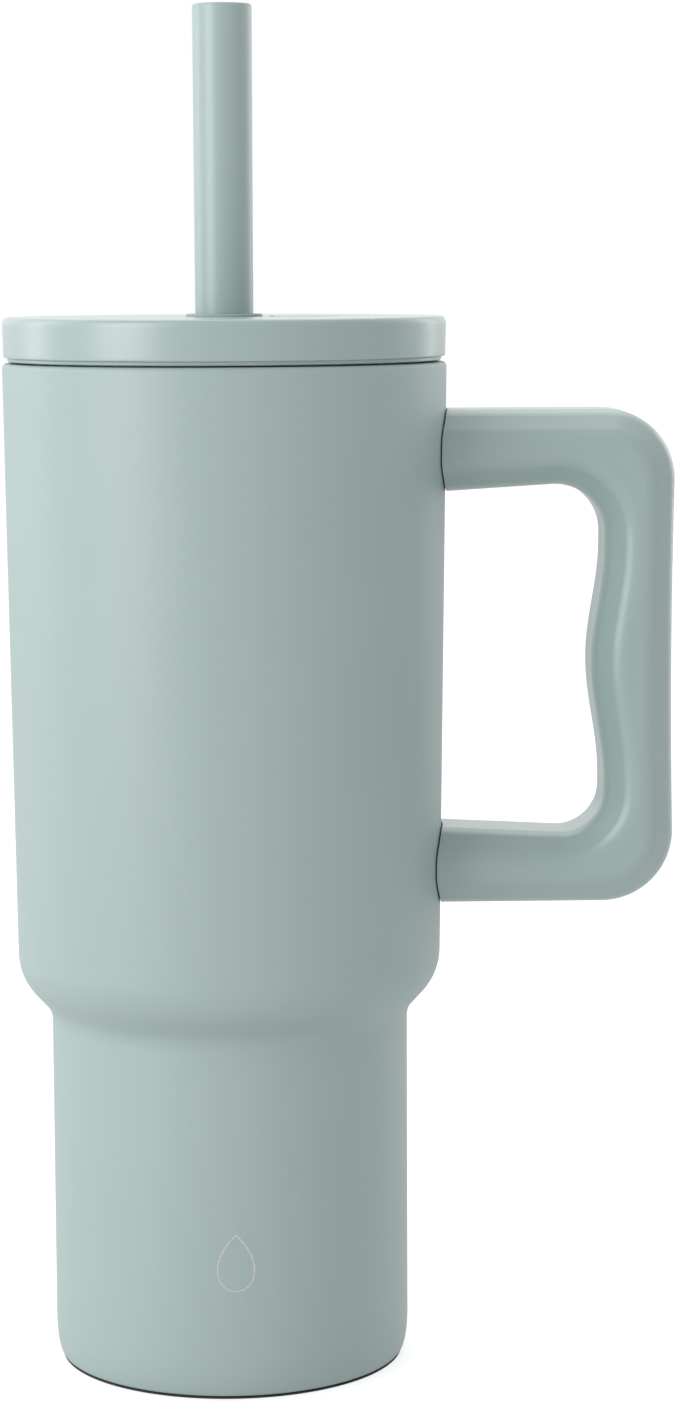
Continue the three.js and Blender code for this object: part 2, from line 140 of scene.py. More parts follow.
pick = tree.nodes.new("ShaderNodeMixShader")
tree.links.new(ray.outputs["Is Camera Ray"], pick.inputs[0])
tree.links.new(lit.outputs[0], pick.inputs[1])
tree.links.new(seen.outputs[0], pick.inputs[2])
tree.links.new(pick.outputs[0], tree.nodes["World Output"].inputs[0])
bpy.context.scene.view_settings.view_transform = "Standard"

# %% [markdown]
# ## A small kit for finishes
#
# A finish that varies over a surface is arithmetic on patterns. In the node editor that is a web
# of Math nodes, which is slow to read. A class that wraps a socket lets the same web be written
# as a sum, such as `grain * 0.6 + speckle * 0.4`, and Blender still gets its nodes.

# %% Finish class


class Field:
    """A node's output that can be added, subtracted and multiplied; each step adds a Math node."""

    def __init__(self, finish, socket):
        self.finish = finish
        self.socket = socket

    def _math(self, operation, first, second):
        return self.finish.node("ShaderNodeMath", {"operation": operation}, {0: first, 1: second})

    def __add__(self, other):
        return self._math("ADD", self, other)

    def __sub__(self, other):
        return self._math("SUBTRACT", self, other)

    def __rsub__(self, other):
        return self._math("SUBTRACT", other, self)

    def __mul__(self, other):
        return self._math("MULTIPLY", self, other)

    __radd__ = __add__
    __rmul__ = __mul__


class Finish:
    """A material with one Principled shader, and a way to add nodes in front of it."""

    def __init__(self, name, color, roughness, metallic=0.0, **constants):
        self.material = bpy.data.materials.new(name)
        self.material.use_nodes = True
        self.tree = self.material.node_tree
        self.shader = self.tree.nodes["Principled BSDF"]
        self.material.diffuse_color = (*color, 1)
        self.set({"Base Color": (*color, 1), "Roughness": roughness, "Metallic": metallic, **constants})

    def set(self, values):
        """Puts values or fields on the Principled shader's sockets."""
        self._fill(self.shader, values)

    def _fill(self, node, values):
        for key, value in values.items():
            if isinstance(value, Field):
                self.tree.links.new(value.socket, node.inputs[key])
            else:
                node.inputs[key].default_value = value

    def node(self, kind, settings=None, values=None, output=0):
        """Adds a node: its settings first, then the values or links of its sockets."""
        node = self.tree.nodes.new(kind)
        for key, value in (settings or {}).items():
            if key == "stops":
                for element, (place, color) in zip(node.color_ramp.elements, value):
                    element.position = place
                    element.color = color
            else:
                setattr(node, key, value)
        self._fill(node, values or {})
        return Field(self, node.outputs[output])

    def place(self):
        """The point on the object, in metres."""
        return self.node("ShaderNodeTexCoord", output="Object")

    def split(self, vector):
        """The three numbers of a vector."""
        first = self.node("ShaderNodeSeparateXYZ", values={"Vector": vector})
        return [Field(self, output) for output in first.socket.node.outputs]

    def noise(self, grain_mm, detail=2.0, where=None):
        """Soft random spots about grain_mm across, from 0 to 1."""
        values = {"Vector": where or self.place(), "Scale": 1 / (grain_mm * MM), "Detail": detail}
        return self.node("ShaderNodeTexNoise", values=values)

    def blend(self, share, first, second):
        """A colour between two, by a share from 0 to 1."""
        settings = {"data_type": "RGBA"}
        values = {0: share, 6: (*first, 1), 7: (*second, 1)}
        return self.node("ShaderNodeMix", settings, values, output=2)

    def bump(self, height, depth_mm, strength=1.0):
        """Sends a height from 0 to 1 to the shader as relief of that depth."""
        values = {"Height": height, "Distance": depth_mm * MM, "Strength": strength}
        self.set({"Normal": self.node("ShaderNodeBump", values=values)})


# %% [markdown]
# ## The finishes
#
# The whole tumbler is one sage colour, but not one material. The steel wall has a powder coat,
# which is baked on as dust and keeps a fine pebbled grain. The lid, straw and handle are moulded,
# so they are smoother and catch softer, longer highlights. The grommet and plugs are silicone,
# which looks dull. Inside, the steel is bare and brushed round its axis.

# %% Sage finishes
SAGE = (0.314, 0.408, 0.398)
SAGE_DEEP = (0.298, 0.390, 0.380)
SAGE_PALE = (0.330, 0.424, 0.414)
PLASTIC_DEEP = (0.296, 0.392, 0.380)
PLASTIC_PALE = (0.322, 0.420, 0.408)


def powder_coat():
    """Baked powder: pebbles of about half a millimetre, under a finer dust."""
    coat = Finish("sage_powder_coat", SAGE, 0.5, **{"Specular IOR Level": 0.9})
    pebbles = coat.noise(0.55, 3)
    dust = coat.noise(0.16, 1)
    clouds = coat.noise(30, 2)
    coat.set({"Base Color": coat.blend(clouds * 0.5 + pebbles * 0.5, SAGE_DEEP, SAGE_PALE)})
    coat.set({"Roughness": 0.42 + pebbles * 0.16})
    coat.bump(pebbles * 0.7 + dust * 0.3, 0.035)
    return coat.material


def moulded(name, grain_mm, relief_mm, roughness, shine=0.5, polish=0.0):
    """Satin moulded plastic: a spark-eroded mould leaves a fine even grain."""
    plastic = Finish(name, SAGE, roughness, **{"Specular IOR Level": shine})
    plastic.set({"Coat Weight": polish, "Coat Roughness": 0.3})
    grain = plastic.noise(grain_mm, 2)
    flow = plastic.noise(24, 1)
    plastic.set({"Base Color": plastic.blend(flow * 0.6 + grain * 0.4, PLASTIC_DEEP, PLASTIC_PALE)})
    plastic.set({"Roughness": roughness - 0.06 + grain * 0.12})
    plastic.bump(grain, relief_mm)
    return plastic.material


coat = powder_coat()
handle_plastic = moulded("sage_handle_plastic", 0.3, 0.006, 0.36, 0.6, 0.4)
lid_plastic = moulded("sage_lid_plastic", 0.25, 0.005, 0.36, 0.7, 0.5)
straw_plastic = moulded("sage_straw_plastic", 0.22, 0.004, 0.45, 0.8, 0.4)
soft_sage = moulded("sage_silicone", 0.4, 0.01, 0.6)

# %% Steel and rubber


def brushed_steel():
    """Fine scratches that run round the axis: the pattern changes with radius and height only."""
    steel = Finish("brushed_steel", (0.62, 0.62, 0.61), 0.3, 1.0)
    x, y, z = steel.split(steel.place())
    radius = steel.node("ShaderNodeMath", {"operation": "SQRT"}, {0: x * x + y * y})
    rings = steel.node("ShaderNodeCombineXYZ", values={0: radius, 2: z, 1: x * 0.02})
    scratches = steel.noise(0.12, 4, rings)
    steel.set({"Base Color": steel.blend(scratches, (0.52, 0.52, 0.51), (0.72, 0.72, 0.71))})
    steel.set({"Roughness": 0.2 + scratches * 0.2})
    steel.bump(scratches, 0.004)
    return steel.material


def milky_silicone():
    seal = Finish("milky_silicone", (0.68, 0.72, 0.70), 0.55)
    cloud = seal.noise(6, 2)
    seal.set({"Base Color": seal.blend(cloud, (0.62, 0.66, 0.64), (0.74, 0.77, 0.75))})
    seal.set({"Roughness": 0.48 + cloud * 0.14})
    return seal.material


# Dark rubber for the foot pad. Its dark rim under the foot is the rubber's own colour and also painted
# contact shadow.
def dark_rubber():
    rubber = Finish("dark_rubber", (0.028, 0.032, 0.031), 0.8)
    grain = rubber.noise(0.5, 3)
    rubber.set({"Base Color": rubber.blend(grain, (0.022, 0.025, 0.025), (0.04, 0.044, 0.043))})
    rubber.set({"Roughness": 0.7 + grain * 0.2})
    rubber.bump(grain, 0.03)
    return rubber.material


def plated_steel():
    """Small screws and brackets are zinc plated: duller, with a faint mottle."""
    zinc = Finish("plated_steel", (0.5, 0.51, 0.52), 0.4, 1.0)
    mottle = zinc.noise(1.2, 3)
    zinc.set({"Base Color": zinc.blend(mottle, (0.42, 0.43, 0.45), (0.58, 0.59, 0.6))})
    zinc.set({"Roughness": 0.32 + mottle * 0.18})
    zinc.bump(mottle, 0.006)
    return zinc.material


steel = brushed_steel()
plating = plated_steel()
seal_silicone = milky_silicone()
pad_rubber_and_shade = dark_rubber()


def white_floor():
    paper = Finish("white_paper", (0.4, 0.4, 0.4), 0.9)
    seen = paper.node("ShaderNodeLightPath", output="Is Camera Ray")
    glow = paper.blend(seen, (0.5, 0.5, 0.5), (1, 1, 1))
    paper.set({"Emission Color": glow, "Emission Strength": 0.7})
    fibre = paper.noise(3, 3)
    paper.set({"Roughness": 0.85 + fibre * 0.1})
    return paper.material


floor.data.materials.append(white_floor())
print("finishes:", len(bpy.data.materials))

# %% [markdown]
# ## Turning round pieces
#
# Almost everything here is round. A potter pulls a wall up from a ring of clay, and Extrude does
# the same with a ring of edges: extrude, lift, and resize about the axis, once for each step of
# the outline. A Screw modifier would also do it, but this way each step is one move that can be
# repeated by hand. Corners in an outline are short curves, so no edge is knife sharp.

# %% Outlines
SIDES = 192


def arc(centre_r, centre_z, radius, start, end, steps, rise=None):
    """Points (r, z) in millimetres on an arc between two angles in degrees."""
    points = []
    for i in range(steps + 1):
        angle = math.radians(start + (end - start) * i / steps)
        across = radius * math.cos(angle)
        points.append((centre_r + across, centre_z + (rise or radius) * math.sin(angle)))
    return points


def rounded(corners, radius, steps=4, closed=True):
    """Softens an outline's corners. An open outline keeps its two ends as they are."""
    run = [corners[-1], *corners, corners[0]] if closed else corners
    points = []
    for before, corner, after in zip(run, run[1:], run[2:]):
        c = Vector(corner)
        into = Vector(before) - c
        out = Vector(after) - c
        start = c + into.normalized() * min(radius, into.length / 2.2)
        end = c + out.normalized() * min(radius, out.length / 2.2)
        for i in range(steps + 1):
            t = i / steps
            points.append(tuple((1 - t) ** 2 * start + 2 * t * (1 - t) * c + t * t * end))
    return points if closed else [corners[0], *points, corners[-1]]


# %% Small steps that every piece shares
def select_only(piece=None):
    """Deselects everything, then selects one piece and makes it active."""
    bpy.ops.object.select_all(action="DESELECT")
    if piece:
        piece.select_set(True)
        bpy.context.view_layer.objects.active = piece


def settle(piece, angle=40):
    """Puts a piece's place into its mesh and shades it smooth below an angle."""
    select_only(piece)
    bpy.ops.object.transform_apply(location=True, rotation=True, scale=True)
    bpy.ops.object.shade_smooth_by_angle(angle=math.radians(angle))
    return piece


def apply_modifier(piece, kind, **settings):
    """Adds a modifier, sets it and applies it."""
    select_only(piece)
    modifier = piece.modifiers.new(kind.lower(), kind)
    for key, value in settings.items():
        setattr(modifier, key, value)
    bpy.ops.object.modifier_apply(modifier=modifier.name)


def finish_piece(piece, body, material, node=None):
    """Gives a piece its finish in a slot and its body, and hides the CAD node that it stands for."""
    piece.data.materials.clear()
    piece.data.materials.append(material)
    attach(piece, body)
    if node:
        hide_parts(node)
    print(piece.name, "on", body, "has", len(piece.data.polygons), "faces")


# %% Turning
def turned(name, outline, sides=SIDES, hollow=True, angle=40):
    """Pulls a round piece up from a ring, one extrusion for each (r, z) of the outline.

    A hollow piece's outline goes right round its wall, and the two open ends are bridged. A
    solid piece's outline starts and ends close to the axis, and both ends are filled.
    """
    select_only()
    r, z = outline[0]
    bpy.ops.mesh.primitive_circle_add(vertices=sides, radius=r * MM, location=(0, 0, z * MM))
    piece = bpy.context.object
    piece.name = piece.data.name = name
    bpy.ops.object.mode_set(mode="EDIT")
    bpy.ops.mesh.select_mode(type="EDGE")
    for next_r, next_z in outline[1:]:
        lift = {"value": (0, 0, (next_z - z) * MM)}
        bpy.ops.mesh.extrude_region_move(TRANSFORM_OT_translate=lift)
        share = next_r / r
        bpy.ops.transform.resize(value=(share, share, 1), center_override=(0, 0, 0))
        r, z = next_r, next_z
    bpy.ops.mesh.select_all(action="DESELECT")
    bpy.ops.mesh.select_non_manifold()
    if hollow:
        bpy.ops.mesh.bridge_edge_loops()
    else:
        bpy.ops.mesh.fill_holes(sides=0)
    bpy.ops.mesh.select_all(action="SELECT")
    bpy.ops.mesh.remove_doubles(threshold=MM / 1000)
    bpy.ops.mesh.normals_make_consistent(inside=False)
    bpy.ops.object.mode_set(mode="OBJECT")
    return settle(piece, angle)


# %% [markdown]
# ## The cup's outer wall
#
# One sheet of steel makes the outer wall. It tapers gently down to a belt, where a shoulder
# steps in to the narrow foot that fits a cup holder. The shoulder is two arcs that meet on a
# slope: the upper one bulges and the lower one is hollow. At the rim the sheet rolls inward,
# and at the foot it turns in to a rounded edge.

# %% Outer wall
shell_low, shell_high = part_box("outer_shell")
RIM_Z = shell_high.z / MM
RIM_R = shell_high.x / MM
FOOT_Z = shell_low.z / MM
WALL = 0.8
BELT_R = 45.05
BELT_Z = 88
WAIST_R = 38
SHOULDER_DEG = 42
BULGE_ROUND = 12
HOLLOW_ROUND = 6
FOOT_INSET = 1.5
FOOT_RISE = 8
VACUUM = 2.4
PIECE_GAP = 0.3


def shoulder(inset):
    """The S from waist to belt, moved in from the outer face by an inset."""
    slope = math.radians(SHOULDER_DEG)
    both = BULGE_ROUND + HOLLOW_ROUND
    straight_rise = (BELT_R - WAIST_R - both * (1 - math.cos(slope))) / math.tan(slope)
    waist_z = BELT_Z - both * math.sin(slope) - straight_rise
    flat = 180 - SHOULDER_DEG
    hollow = arc(WAIST_R + HOLLOW_ROUND, waist_z, HOLLOW_ROUND + inset, 180, flat, 10)
    bulge = arc(BELT_R - BULGE_ROUND, BELT_Z, BULGE_ROUND - inset, -SHOULDER_DEG, 0, 12)
    return hollow + bulge


def cup_outline():
    """The wall's outer face from foot to rim, then its inner face back down."""
    foot = (WAIST_R - FOOT_INSET, FOOT_Z + FOOT_RISE)
    flange_r = RIM_R - WALL - VACUUM + PIECE_GAP
    fold = (RIM_R - WALL - 0.5, RIM_Z - WALL - 0.5)
    points = arc(*foot, FOOT_INSET, -90, 0, 14, FOOT_RISE) + shoulder(0)
    points += arc(RIM_R - 1, RIM_Z - 1, 1, 0, 90, 6)
    points += [(flange_r, RIM_Z), (flange_r, RIM_Z - WALL), fold]
    points += reversed(shoulder(WALL))
    return points + arc(*foot, FOOT_INSET - WALL, 0, -90, 8, FOOT_RISE - WALL)


cup_wall = turned("cup_wall", cup_outline())
finish_piece(cup_wall, "cup", coat, "outer_shell")

# %% Bare steel inside the rim
# The powder stops on the rim's round, so the flange inside it shows steel.
cup_wall.data.materials.append(steel)
for face in cup_wall.data.polygons:
    out = math.hypot(face.center.x, face.center.y) / MM
    if face.center.z / MM > RIM_Z - 2 and out < RIM_R - 1:
        face.material_index = 1

# %% [markdown]
# ## The inner cup
#
# The drink touches a second steel cup, parallel to the first and a few millimetres inside it.
# It shows when the lid is off, so its mouth and floor need the same care as the outside.

# %% Inner cup
liner_low, liner_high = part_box("inner_liner")
LINER_CORNER = 8
CLOSE_TO_AXIS = 1


def liner_outline():
    """The liner's outer face from the middle of its floor to its mouth, and back inside."""
    floor = liner_low.z / MM
    outer = WALL + VACUUM
    inner = outer + WALL
    corner = (WAIST_R - outer - LINER_CORNER, floor + LINER_CORNER)
    mouth = [(RIM_R - outer, RIM_Z), (RIM_R - inner, RIM_Z)]
    points = [(CLOSE_TO_AXIS, floor)] + arc(*corner, LINER_CORNER, -90, 0, 10) + shoulder(outer)
    points += rounded([points[-1], *mouth, shoulder(inner)[-1]], 0.25, 3, closed=False)[1:-1]
    points += reversed(shoulder(inner))
    points += arc(*corner, LINER_CORNER - WALL, 0, -90, 10)
    return points + [(CLOSE_TO_AXIS, floor + WALL)]


cup_liner = turned("cup_liner", liner_outline(), hollow=False)
finish_piece(cup_liner, "cup", steel, "inner_liner")

# %% [markdown]
# ## The foot
#
# A dished plate closes the shell's foot, and a rubber disc under it keeps the cup quiet and
# stops it sliding. A thin skirt on the disc reaches just past the foot's edge, so from the side
# it is a thin dark line: the disc is real, and its dark skirt is also painted contact shadow
# where the foot meets the floor. Underneath it has shallow rings, which grip.

# %% Base plate
plate_low, plate_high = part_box("base_plate")
PLATE_R = plate_high.x / MM
PLATE_LIP = plate_low.z / MM
PLATE_TOP = plate_high.z / MM
PLATE_Z = 1.6
DIMPLE_R = 6.2
PORT_R = 1.2
plate_corners = [
    (PORT_R, PLATE_TOP - WALL), (DIMPLE_R, PLATE_TOP - WALL), (DIMPLE_R + 1, PLATE_Z),
    (PLATE_R - WALL, PLATE_Z), (PLATE_R - WALL, PLATE_LIP), (PLATE_R, PLATE_LIP),
    (PLATE_R, PLATE_Z + WALL), (DIMPLE_R + 1.3, PLATE_Z + WALL), (DIMPLE_R + 0.3, PLATE_TOP),
    (PORT_R, PLATE_TOP)]
base_cap = turned("base_cap", rounded(plate_corners, 0.3, 3), sides=128)
finish_piece(base_cap, "cup", steel, "base_plate")

# %% Rubber disc
pad_low, pad_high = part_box("foot_pad")
PAD_SHADE_SKIRT_R = pad_high.x / MM
PAD_SHADE_SKIRT_TOP = 0.35
PAD_R = 34.9
PAD_TOP = pad_high.z / MM
FIRST_RING = 8
RING_STEP = 4
RING_DEPTH = 0.4
pad_corners = [(CLOSE_TO_AXIS, 0)]
for ring_r in range(FIRST_RING, int(PAD_R) - RING_STEP, RING_STEP):
    pad_corners += [(ring_r, 0), (ring_r + 0.4, RING_DEPTH)]
    pad_corners += [(ring_r + 1.1, RING_DEPTH), (ring_r + 1.5, 0)]
# The skirt shows as a dark line under the foot: the pad's real rim, and painted contact shadow.
pad_corners += [(PAD_SHADE_SKIRT_R, 0), (PAD_SHADE_SKIRT_R, PAD_SHADE_SKIRT_TOP), (PAD_R, PAD_SHADE_SKIRT_TOP)]
pad_corners += [(PAD_R, PAD_TOP), (CLOSE_TO_AXIS, PAD_TOP)]
pad_outline = rounded(pad_corners, 0.12, 3, closed=False)
rubber_disc = turned("rubber_disc", pad_outline, sides=128, hollow=False)
finish_piece(rubber_disc, "cup", pad_rubber_and_shade, "foot_pad")

# %% [markdown]
# ## Blocks, bevels and cuts
#
# Some pieces aren't round. They start as a block, and their edges are picked by where they are
# and bevelled, as one would click them. Seats and holes are cut with the Boolean modifier: the
# cutting shape is a rough tool, so it is removed once its hollow is made.

# %% Helpers for blocks and cuts


def block(name, low, high):
    """A block between two corners in metres."""
    select_only()
    middle = (Vector(low) + Vector(high)) / 2
    bpy.ops.mesh.primitive_cube_add(size=1, location=middle)
    piece = bpy.context.object
    piece.name = piece.data.name = name
    piece.scale = Vector(high) - Vector(low)
    bpy.ops.object.transform_apply(location=True, rotation=True, scale=True)
    return piece


def rod(name, radius_mm, low, high, sides=64):
    """A plain cylinder between two points in metres, one above or beside the other."""
    select_only()
    way = Vector(high) - Vector(low)
    bpy.ops.mesh.primitive_cylinder_add(
        vertices=sides, radius=radius_mm * MM, depth=way.length,
        location=(Vector(low) + Vector(high)) / 2, rotation=way.to_track_quat("Z", "Y").to_euler())
    piece = bpy.context.object
    piece.name = piece.data.name = name
    bpy.ops.object.transform_apply(location=True, rotation=True, scale=True)
    return piece


def bevel_edges(piece, wanted, width_mm, segments):
    """Rounds the edges for which wanted(one end, other end) is true."""
    select_only(piece)
    bpy.ops.object.mode_set(mode="EDIT")
    bpy.ops.mesh.select_mode(type="EDGE")
    bpy.ops.mesh.select_all(action="DESELECT")
    bpy.ops.object.mode_set(mode="OBJECT")
    points = piece.data.vertices
    for edge in piece.data.edges:
        a, b = (points[i].co for i in edge.vertices)
        edge.select = wanted(a, b)
    bpy.ops.object.mode_set(mode="EDIT")
    bpy.ops.mesh.bevel(offset=width_mm * MM, segments=segments, affect="EDGES")
    bpy.ops.object.mode_set(mode="OBJECT")


def cut(piece, *tools):
    """Cuts each tool's shape out of a piece and removes the tool."""
    for tool in tools:
        apply_modifier(piece, "BOOLEAN", object=tool, operation="DIFFERENCE", solver="EXACT")
        bpy.data.objects.remove(tool)


def upright_at(x):
    """Picks upright edges at a place along X."""
    near = MM / 100
    return lambda a, b: abs(a.x - x) < near and abs(b.x - x) < near and abs(a.y - b.y) < near


# %% [markdown]
# ## The lid
#
# The lid's top is a flat round cap with a soft edge. Under its side a narrower neck stands on
# the cup's rim, which leaves a shadow line. The lower half is a separate cup-shaped moulding
# that goes into the mouth, and a ribbed silicone ring in its groove makes the seal.

# %% Lid top
lid_low, lid_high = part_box("lid_cover")
LID_R = lid_high.x / MM
LID_TOP = lid_high.z / MM
NECK_Z = lid_low.z / MM
SKIRT_Z = LID_TOP - 8.3
NECK_R = LID_R - 1
SKIRT_R = LID_R - 0.15
LID_PLATE_Z = LID_TOP - 5
CAVITY_R = 43
STRAW_HOLE_R = 7.7
EDGE_ACROSS = 1.0
EDGE_DOWN = 1.6
RECESS_R = 8.2
RECESS_Z = LID_TOP - 0.7


def lid_outline():
    """From the straw hole out under the plate, down the neck, and over the top."""
    under = [(STRAW_HOLE_R, LID_PLATE_Z), (CAVITY_R, LID_PLATE_Z), (CAVITY_R, NECK_Z),
             (NECK_R, NECK_Z), (NECK_R, SKIRT_Z), (SKIRT_R, SKIRT_Z), (SKIRT_R, SKIRT_Z + 1)]
    edge_r = LID_R - EDGE_ACROSS
    side = arc(edge_r, LID_TOP - EDGE_DOWN, EDGE_ACROSS, 0, 90, 12, EDGE_DOWN)
    top = [(edge_r - 1, LID_TOP), (RECESS_R + 0.5, LID_TOP), (RECESS_R, LID_TOP - 0.1)]
    recess = [(RECESS_R, RECESS_Z), (STRAW_HOLE_R, RECESS_Z)]
    return rounded(under, 0.35, 4, closed=False) + side + top + recess


lid_cap = turned("lid_cap", lid_outline())

# %% Seat for the flip tab, its pin and its vent
tab_low, tab_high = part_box("stopper_tab")
pin_low, pin_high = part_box("tab_hinge_pin")
plug_low, plug_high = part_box("stopper_plug")
pin_middle = (pin_low + pin_high) / 2
plug_x = (plug_low.x + plug_high.x) / 2
SEAT_GAP = 0.4 * MM
FINGER_ROOM = 2.2 * MM
SEAT_CORNER = 3.4
VENT_R = 3.9
PIN_HOLE_R = 0.9

seat_low = tab_low - Vector((SEAT_GAP, PIECE_GAP * MM, SEAT_GAP))
seat_high = Vector((tab_high.x + FINGER_ROOM, tab_high.y + PIECE_GAP * MM, lid_high.z + MM))
seat = block("seat", seat_low, seat_high)
bevel_edges(seat, upright_at(seat_high.x), SEAT_CORNER, 10)
vent = rod("vent", VENT_R, (plug_x, 0, lid_low.z), (plug_x, 0, seat_low.z + MM))
pin_reach = Vector((0, PIECE_GAP * MM, 0))
pin_ends = [
    Vector((pin_middle.x, pin_low.y, pin_middle.z)) - pin_reach,
    Vector((pin_middle.x, pin_high.y, pin_middle.z)) + pin_reach]
pin_hole = rod("pin_hole", PIN_HOLE_R, *pin_ends, sides=32)
cut(lid_cap, seat, vent, pin_hole)
apply_modifier(lid_cap, "BEVEL", width=0.15 * MM, segments=2, limit_method="ANGLE",
               angle_limit=math.radians(60), use_clamp_overlap=True)
settle(lid_cap, 35)
finish_piece(lid_cap, "lid", lid_plastic, "lid_cover")

# %% Lid's lower half
insert_low, insert_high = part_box("lid_insert")
INSERT_TOP = insert_high.z / MM
INSERT_LOW = insert_low.z / MM
INSERT_R = 41.2
GROOVE_R = 39.6
GROOVE_LOW = 206.6
GROOVE_HIGH = 210.2
FLANGE_Z = 213.8
FLANGE_R = insert_high.x / MM
INSERT_INSIDE_R = 38
INSERT_FLOOR = INSERT_LOW + 1.6
TUBE_R = STRAW_HOLE_R + 1.4
insert_corners = [
    (STRAW_HOLE_R, INSERT_LOW), (INSERT_R, INSERT_LOW), (INSERT_R, GROOVE_LOW),
    (GROOVE_R, GROOVE_LOW), (GROOVE_R, GROOVE_HIGH), (INSERT_R, GROOVE_HIGH),
    (INSERT_R, FLANGE_Z), (FLANGE_R, FLANGE_Z), (FLANGE_R, INSERT_TOP),
    (INSERT_INSIDE_R, INSERT_TOP), (INSERT_INSIDE_R, INSERT_FLOOR), (TUBE_R, INSERT_FLOOR),
    (TUBE_R, INSERT_TOP), (STRAW_HOLE_R, INSERT_TOP)]
lid_plug = turned("lid_plug", rounded(insert_corners, 0.5, 4))
vent_below = rod("vent_below", VENT_R, (plug_x, 0, insert_low.z - MM), (plug_x, 0, insert_low.z + 3 * MM))
cut(lid_plug, vent_below)
settle(lid_plug, 35)
finish_piece(lid_plug, "lid", lid_plastic, "lid_insert")

# %% Seal ring
seal_low, seal_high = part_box("lid_gasket")
SEAL_LOW = seal_low.z / MM
SEAL_HIGH = seal_high.z / MM
FIN_R = seal_high.x / MM
WEB_R = INSERT_R + 0.1
SEAL_INSIDE_R = GROOVE_R + PIECE_GAP
seal_corners = [
    (SEAL_INSIDE_R, SEAL_LOW), (WEB_R, SEAL_LOW), (FIN_R, SEAL_LOW + 0.7), (WEB_R, SEAL_LOW + 1.2),
    (WEB_R, SEAL_HIGH - 1.2), (FIN_R, SEAL_HIGH - 0.5), (WEB_R, SEAL_HIGH),
    (SEAL_INSIDE_R, SEAL_HIGH)]
seal_ring = turned("seal_ring", rounded(seal_corners, 0.2, 3))
finish_piece(seal_ring, "lid", seal_silicone, "lid_gasket")

# %% Grommet round the straw
ring_low, ring_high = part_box("straw_grommet")
RING_BORE_R = 6.4
RING_R = 7.4
RING_FLANGE_R = 8
RING_FOOT_R = ring_high.x / MM
RING_LOW = ring_low.z / MM
RING_TOP = ring_high.z / MM
RING_LIE = RECESS_Z + 0.1
ring_corners = [
    (RING_BORE_R, RING_LOW), (RING_FOOT_R, RING_LOW), (RING_FOOT_R, INSERT_LOW - PIECE_GAP),
    (RING_R, INSERT_LOW - PIECE_GAP), (RING_R, RING_LIE), (RING_FLANGE_R, RING_LIE),
    (RING_FLANGE_R, RING_TOP), (RING_BORE_R, RING_TOP)]
straw_ring = turned("straw_ring", rounded(ring_corners, 0.3, 4), sides=96)
finish_piece(straw_ring, "lid", soft_sage, "straw_grommet")

# %% [markdown]
# ## The flip tab
#
# Beside the straw a small tab lies flush in the lid and turns up on a pin. It starts as a block.
# Its tip is rounded in plan, its hinge end is rounded about the pin, and then every edge is
# softened. A tapered plug hangs under it and closes the vent.

# %% Flip tab
TAB_CORNER = 3.2
flip_tab = block("flip_tab", tab_low, tab_high)
bevel_edges(flip_tab, upright_at(tab_high.x), TAB_CORNER, 10)


def along_hinge(a, b):
    """Picks the two edges of the hinge end that lie along the pin."""
    near = MM / 100
    return max(a.x, b.x) < tab_low.x + near and abs(a.z - b.z) < near


bevel_edges(flip_tab, along_hinge, (tab_high.z - tab_low.z) / 2 / MM - 0.02, 8)
tab_hole = rod("tab_hole", PIN_HOLE_R, pin_ends[0] - pin_reach, pin_ends[1] + pin_reach, sides=32)
cut(flip_tab, tab_hole)
apply_modifier(flip_tab, "BEVEL", width=0.25 * MM, segments=3, limit_method="ANGLE",
               angle_limit=math.radians(50), use_clamp_overlap=True)
settle(flip_tab, 35)
finish_piece(flip_tab, "stopper", lid_plastic, "stopper_tab")

# %% Plug under the tab
PLUG_LOW = plug_low.z / MM
PLUG_TOP = plug_high.z / MM
PLUG_TOP_R = (plug_high.x - plug_low.x) / 2 / MM
plug_corners = [
    (0.5, PLUG_LOW), (PLUG_TOP_R - 0.6, PLUG_LOW), (PLUG_TOP_R, PLUG_TOP), (0.5, PLUG_TOP)]
plug_outline = rounded(plug_corners, 0.4, 4, closed=False)
vent_plug = turned("vent_plug", plug_outline, sides=64, hollow=False)
vent_plug.location.x = plug_x
settle(vent_plug)
finish_piece(vent_plug, "stopper", soft_sage, "stopper_plug")

# %% [markdown]
# ## The straw
#
# A straight tube, wide enough for a thick drink, with a softly rounded lip at each end. It is
# very slightly wider at the top, which keeps it from slipping down through the grommet.

# %% Straw
straw_low, straw_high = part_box("straw")
STRAW_END = straw_low.z / MM
STRAW_TIP = straw_high.z / MM
STRAW_TIP_R = straw_high.x / MM
STRAW_R = 6.1
STRAW_BORE_R = 4.9
straw_corners = [
    (STRAW_BORE_R, STRAW_END), (STRAW_R, STRAW_END), (STRAW_R, LID_TOP),
    (STRAW_TIP_R, STRAW_TIP), (STRAW_BORE_R, STRAW_TIP)]
wide_straw = turned("wide_straw", rounded(straw_corners, 0.5, 5), sides=96)
finish_piece(wide_straw, "straw", straw_plastic, "straw")

# %% [markdown]
# ## The handle
#
# The handle is one thick moulding, like a squared letter C. Its side view is drawn first: one
# point is extruded along the outline, and the closed line is filled. Extruding that face gives
# the depth. A broad flat bevel slopes both faces down to the sides, as on the real moulding, and
# a smaller round bevel then softens the two ridges that it leaves, which catch the light as long
# thin lines. The grip's inner side swells towards the cup, so that the fingers fall either side
# of it. Last, the roots are cut to the cup's own curve, with a gap as thin as card.

# %% Handle's side view
grip_low, grip_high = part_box("handle")
ROOT_X = 36
HANDLE_TOP = grip_high.z / MM
HANDLE_LOW = grip_low.z / MM
GRIP_X = grip_high.x / MM
GRIP_BOW = 0.45
UPPER_UNDERSIDE = (185.3, 187.3)
LOWER_TOPSIDE = (115.1, 113.35)
GRIP_INNER_X = 79.5
OUTER_ROUNDS = (14.8, 15)
INNER_ROUNDS = (10.5, 9)
SWELL = 2.7
SWELL_Z = 149.5
SWELL_HALF = 25
SIDE_STEPS = 20


